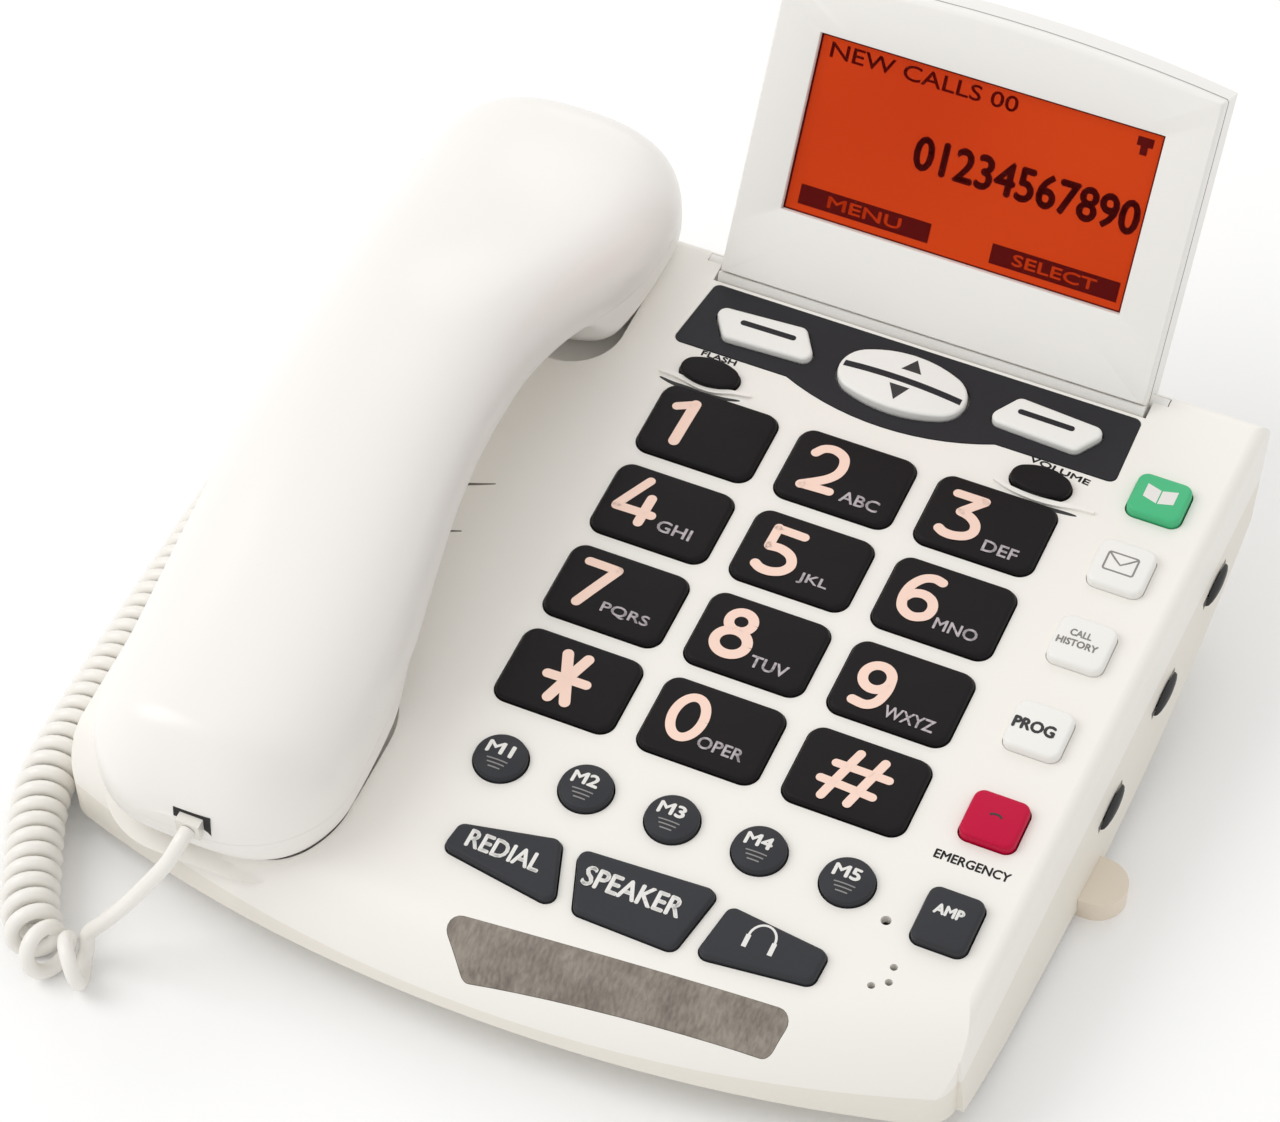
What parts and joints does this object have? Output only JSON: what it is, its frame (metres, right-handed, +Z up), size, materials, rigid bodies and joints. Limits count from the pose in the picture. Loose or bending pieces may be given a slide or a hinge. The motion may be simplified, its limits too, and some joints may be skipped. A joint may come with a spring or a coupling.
{
  "type": "corded desk telephone",
  "caption": "Corded desk telephone with a curly-cord handset, raised number keys, a column of function keys, a tilting display head and side sliders.",
  "frame": {"origin": "centre of the phone's bounding box at table level, measured without the free cord", "axes": "+X to the right for a user facing the keys, +Y to the rear, +Z up"},
  "size_m": [0.2254, 0.2518, 0.1111],
  "materials": {
    "case_plastic": "fine satin, warm off-white",
    "beige_plastic": "satin beige",
    "black_rubber": "matt",
    "dark_gloss": "glossy near-black",
    "smoked_lens": "smoked translucent plastic",
    "clear_lens": "clear plastic window",
    "lcd": "orange-red liquid crystal panel",
    "circuit_board": "green solder mask",
    "grey_silicone": "matt silicone",
    "driver_metal": "pressed steel and paper cone",
    "jack_plastic": "moulded nylon",
    "black_plastic": "matt",
    "screw_steel": "zinc plated",
    "plug_plastic": "clear-milky moulded plastic",
    "key_black": "satin black with printed figures",
    "key_charcoal": "satin charcoal",
    "key_green": "satin green",
    "key_red": "satin red",
    "cord_jacket": "smooth vinyl, off-white"
  },
  "bodies": {
    "base": {"upper_case": "case_plastic", "lower_case": "case_plastic", "side_foot": "beige_plastic", "rubber_feet": "black_rubber", "soft_key_panel": "dark_gloss", "ring_lens": "smoked_lens", "main_board": "circuit_board", "keypad_mat": "grey_silicone", "loudspeaker": "driver_metal", "modular_jacks": "jack_plastic", "power_jack": "black_plastic", "case_screws": "screw_steel", "hook_spring": "screw_steel", "handset_lead": "cord_jacket", "cord_coil": "cord_jacket", "base_plug": "plug_plastic"},
    "key_1_body": {"key_1": "key_black"},
    "key_2_body": {"key_2": "key_black"},
    "key_3_body": {"key_3": "key_black"},
    "key_4_body": {"key_4": "key_black"},
    "key_5_body": {"key_5": "key_black"},
    "key_6_body": {"key_6": "key_black"},
    "key_7_body": {"key_7": "key_black"},
    "key_8_body": {"key_8": "key_black"},
    "key_9_body": {"key_9": "key_black"},
    "key_star_body": {"key_star": "key_black"},
    "key_0_body": {"key_0": "key_black"},
    "key_hash_body": {"key_hash": "key_black"},
    "memory_key_1_body": {"memory_key_1": "key_charcoal"},
    "memory_key_2_body": {"memory_key_2": "key_charcoal"},
    "memory_key_3_body": {"memory_key_3": "key_charcoal"},
    "memory_key_4_body": {"memory_key_4": "key_charcoal"},
    "memory_key_5_body": {"memory_key_5": "key_charcoal"},
    "redial_key_body": {"redial_key": "key_charcoal"},
    "speaker_key_body": {"speaker_key": "key_charcoal"},
    "headset_key_body": {"headset_key": "key_charcoal"},
    "directory_key_body": {"directory_key": "key_green"},
    "message_key_body": {"message_key": "case_plastic"},
    "call_list_key_body": {"call_list_key": "case_plastic"},
    "program_key_body": {"program_key": "case_plastic"},
    "emergency_key_body": {"emergency_key": "key_red"},
    "amplify_key_body": {"amplify_key": "key_charcoal"},
    "soft_key_left_body": {"soft_key_left": "case_plastic"},
    "soft_key_right_body": {"soft_key_right": "case_plastic"},
    "oval_key_left_body": {"oval_key_left": "dark_gloss"},
    "oval_key_right_body": {"oval_key_right": "dark_gloss"},
    "rocker": {"navigation_rocker": "case_plastic"},
    "slider_1_body": {"slider_1": "black_plastic"},
    "slider_2_body": {"slider_2": "black_plastic"},
    "slider_3_body": {"slider_3": "black_plastic"},
    "display": {"display_front": "case_plastic", "display_back": "case_plastic", "display_lens": "clear_lens", "lcd_panel": "lcd"},
    "handset": {"handset_top": "case_plastic", "handset_bottom": "case_plastic", "receiver_capsule": "driver_metal", "handset_microphone": "driver_metal", "handset_plug": "plug_plastic"},
    "hook": {"hook_plunger": "case_plastic"}
  },
  "joints": [
    {"name": "key_1_press", "type": "slide", "parent": "base", "child": "key_1_body", "axis": [0, 0.1045, -0.9945], "range_m": [0, 0.0015], "stiffness_N_per_m": 600},
    {"name": "key_2_press", "type": "slide", "parent": "base", "child": "key_2_body", "axis": [0, 0.1045, -0.9945], "range_m": [0, 0.0015], "stiffness_N_per_m": 600},
    {"name": "key_3_press", "type": "slide", "parent": "base", "child": "key_3_body", "axis": [0, 0.1045, -0.9945], "range_m": [0, 0.0015], "stiffness_N_per_m": 600},
    {"name": "key_4_press", "type": "slide", "parent": "base", "child": "key_4_body", "axis": [0, 0.1045, -0.9945], "range_m": [0, 0.0015], "stiffness_N_per_m": 600},
    {"name": "key_5_press", "type": "slide", "parent": "base", "child": "key_5_body", "axis": [0, 0.1045, -0.9945], "range_m": [0, 0.0015], "stiffness_N_per_m": 600},
    {"name": "key_6_press", "type": "slide", "parent": "base", "child": "key_6_body", "axis": [0, 0.1045, -0.9945], "range_m": [0, 0.0015], "stiffness_N_per_m": 600},
    {"name": "key_7_press", "type": "slide", "parent": "base", "child": "key_7_body", "axis": [0, 0.1045, -0.9945], "range_m": [0, 0.0015], "stiffness_N_per_m": 600},
    {"name": "key_8_press", "type": "slide", "parent": "base", "child": "key_8_body", "axis": [0, 0.1045, -0.9945], "range_m": [0, 0.0015], "stiffness_N_per_m": 600},
    {"name": "key_9_press", "type": "slide", "parent": "base", "child": "key_9_body", "axis": [0, 0.1045, -0.9945], "range_m": [0, 0.0015], "stiffness_N_per_m": 600},
    {"name": "key_star_press", "type": "slide", "parent": "base", "child": "key_star_body", "axis": [0, 0.1045, -0.9945], "range_m": [0, 0.0015], "stiffness_N_per_m": 600},
    {"name": "key_0_press", "type": "slide", "parent": "base", "child": "key_0_body", "axis": [0, 0.1045, -0.9945], "range_m": [0, 0.0015], "stiffness_N_per_m": 600},
    {"name": "key_hash_press", "type": "slide", "parent": "base", "child": "key_hash_body", "axis": [0, 0.1045, -0.9945], "range_m": [0, 0.0015], "stiffness_N_per_m": 600},
    {"name": "memory_key_1_press", "type": "slide", "parent": "base", "child": "memory_key_1_body", "axis": [0, 0.1045, -0.9945], "range_m": [0, 0.0015], "stiffness_N_per_m": 600},
    {"name": "memory_key_2_press", "type": "slide", "parent": "base", "child": "memory_key_2_body", "axis": [0, 0.1045, -0.9945], "range_m": [0, 0.0015], "stiffness_N_per_m": 600},
    {"name": "memory_key_3_press", "type": "slide", "parent": "base", "child": "memory_key_3_body", "axis": [0, 0.1045, -0.9945], "range_m": [0, 0.0015], "stiffness_N_per_m": 600},
    {"name": "memory_key_4_press", "type": "slide", "parent": "base", "child": "memory_key_4_body", "axis": [0, 0.1045, -0.9945], "range_m": [0, 0.0015], "stiffness_N_per_m": 600},
    {"name": "memory_key_5_press", "type": "slide", "parent": "base", "child": "memory_key_5_body", "axis": [0, 0.1045, -0.9945], "range_m": [0, 0.0015], "stiffness_N_per_m": 600},
    {"name": "redial_key_press", "type": "slide", "parent": "base", "child": "redial_key_body", "axis": [0, 0.1045, -0.9945], "range_m": [0, 0.0015], "stiffness_N_per_m": 600},
    {"name": "speaker_key_press", "type": "slide", "parent": "base", "child": "speaker_key_body", "axis": [0, 0.1045, -0.9945], "range_m": [0, 0.0015], "stiffness_N_per_m": 600},
    {"name": "headset_key_press", "type": "slide", "parent": "base", "child": "headset_key_body", "axis": [0, 0.1045, -0.9945], "range_m": [0, 0.0015], "stiffness_N_per_m": 600},
    {"name": "directory_key_press", "type": "slide", "parent": "base", "child": "directory_key_body", "axis": [0, 0.1045, -0.9945], "range_m": [0, 0.0015], "stiffness_N_per_m": 600},
    {"name": "message_key_press", "type": "slide", "parent": "base", "child": "message_key_body", "axis": [0, 0.1045, -0.9945], "range_m": [0, 0.0015], "stiffness_N_per_m": 600},
    {"name": "call_list_key_press", "type": "slide", "parent": "base", "child": "call_list_key_body", "axis": [0, 0.1045, -0.9945], "range_m": [0, 0.0015], "stiffness_N_per_m": 600},
    {"name": "program_key_press", "type": "slide", "parent": "base", "child": "program_key_body", "axis": [0, 0.1045, -0.9945], "range_m": [0, 0.0015], "stiffness_N_per_m": 600},
    {"name": "emergency_key_press", "type": "slide", "parent": "base", "child": "emergency_key_body", "axis": [0, 0.1045, -0.9945], "range_m": [0, 0.0015], "stiffness_N_per_m": 600},
    {"name": "amplify_key_press", "type": "slide", "parent": "base", "child": "amplify_key_body", "axis": [0, 0.1045, -0.9945], "range_m": [0, 0.0015], "stiffness_N_per_m": 600},
    {"name": "soft_key_left_press", "type": "slide", "parent": "base", "child": "soft_key_left_body", "axis": [0, 0.1045, -0.9945], "range_m": [0, 0.0015], "stiffness_N_per_m": 600},
    {"name": "soft_key_right_press", "type": "slide", "parent": "base", "child": "soft_key_right_body", "axis": [0, 0.1045, -0.9945], "range_m": [0, 0.0015], "stiffness_N_per_m": 600},
    {"name": "oval_key_left_press", "type": "slide", "parent": "base", "child": "oval_key_left_body", "axis": [0, 0.1045, -0.9945], "range_m": [0, 0.0015], "stiffness_N_per_m": 600},
    {"name": "oval_key_right_press", "type": "slide", "parent": "base", "child": "oval_key_right_body", "axis": [0, 0.1045, -0.9945], "range_m": [0, 0.0015], "stiffness_N_per_m": 600},
    {"name": "rocker_tilt", "type": "hinge", "parent": "base", "child": "rocker", "pos_m": [0.02148, 0.05718, 0.03786], "axis": [1, 0, 0], "range_deg": [-3, 3], "stiffness_Nm_per_rad": 0.5},
    {"name": "slider_1_slide", "type": "slide", "parent": "base", "child": "slider_1_body", "axis": [0.0219, 0.9943, 0.1045], "range_m": [-0.003, 0.003]},
    {"name": "slider_2_slide", "type": "slide", "parent": "base", "child": "slider_2_body", "axis": [0.0219, 0.9943, 0.1045], "range_m": [-0.003, 0.003]},
    {"name": "slider_3_slide", "type": "slide", "parent": "base", "child": "slider_3_body", "axis": [0.0219, 0.9943, 0.1045], "range_m": [-0.003, 0.003]},
    {"name": "display_tilt", "type": "hinge", "parent": "base", "child": "display", "pos_m": [0.02218, 0.07495, 0.0439], "axis": [1, 0, 0], "range_deg": [-45.7, 12.3]},
    {"name": "handset_lift", "type": "slide", "parent": "base", "child": "handset", "axis": [0, -0.1045, 0.9945], "range_m": [0, 0.08]},
    {"name": "hook_travel", "type": "slide", "parent": "base", "child": "hook", "axis": [0, 0, 1], "range_m": [0, 0.004], "deforming": ["hook_spring"]}
  ],
  "couplings": [
    {"joint": "hook_travel", "follows": "handset_lift", "ratio": 0.05}
  ]
}
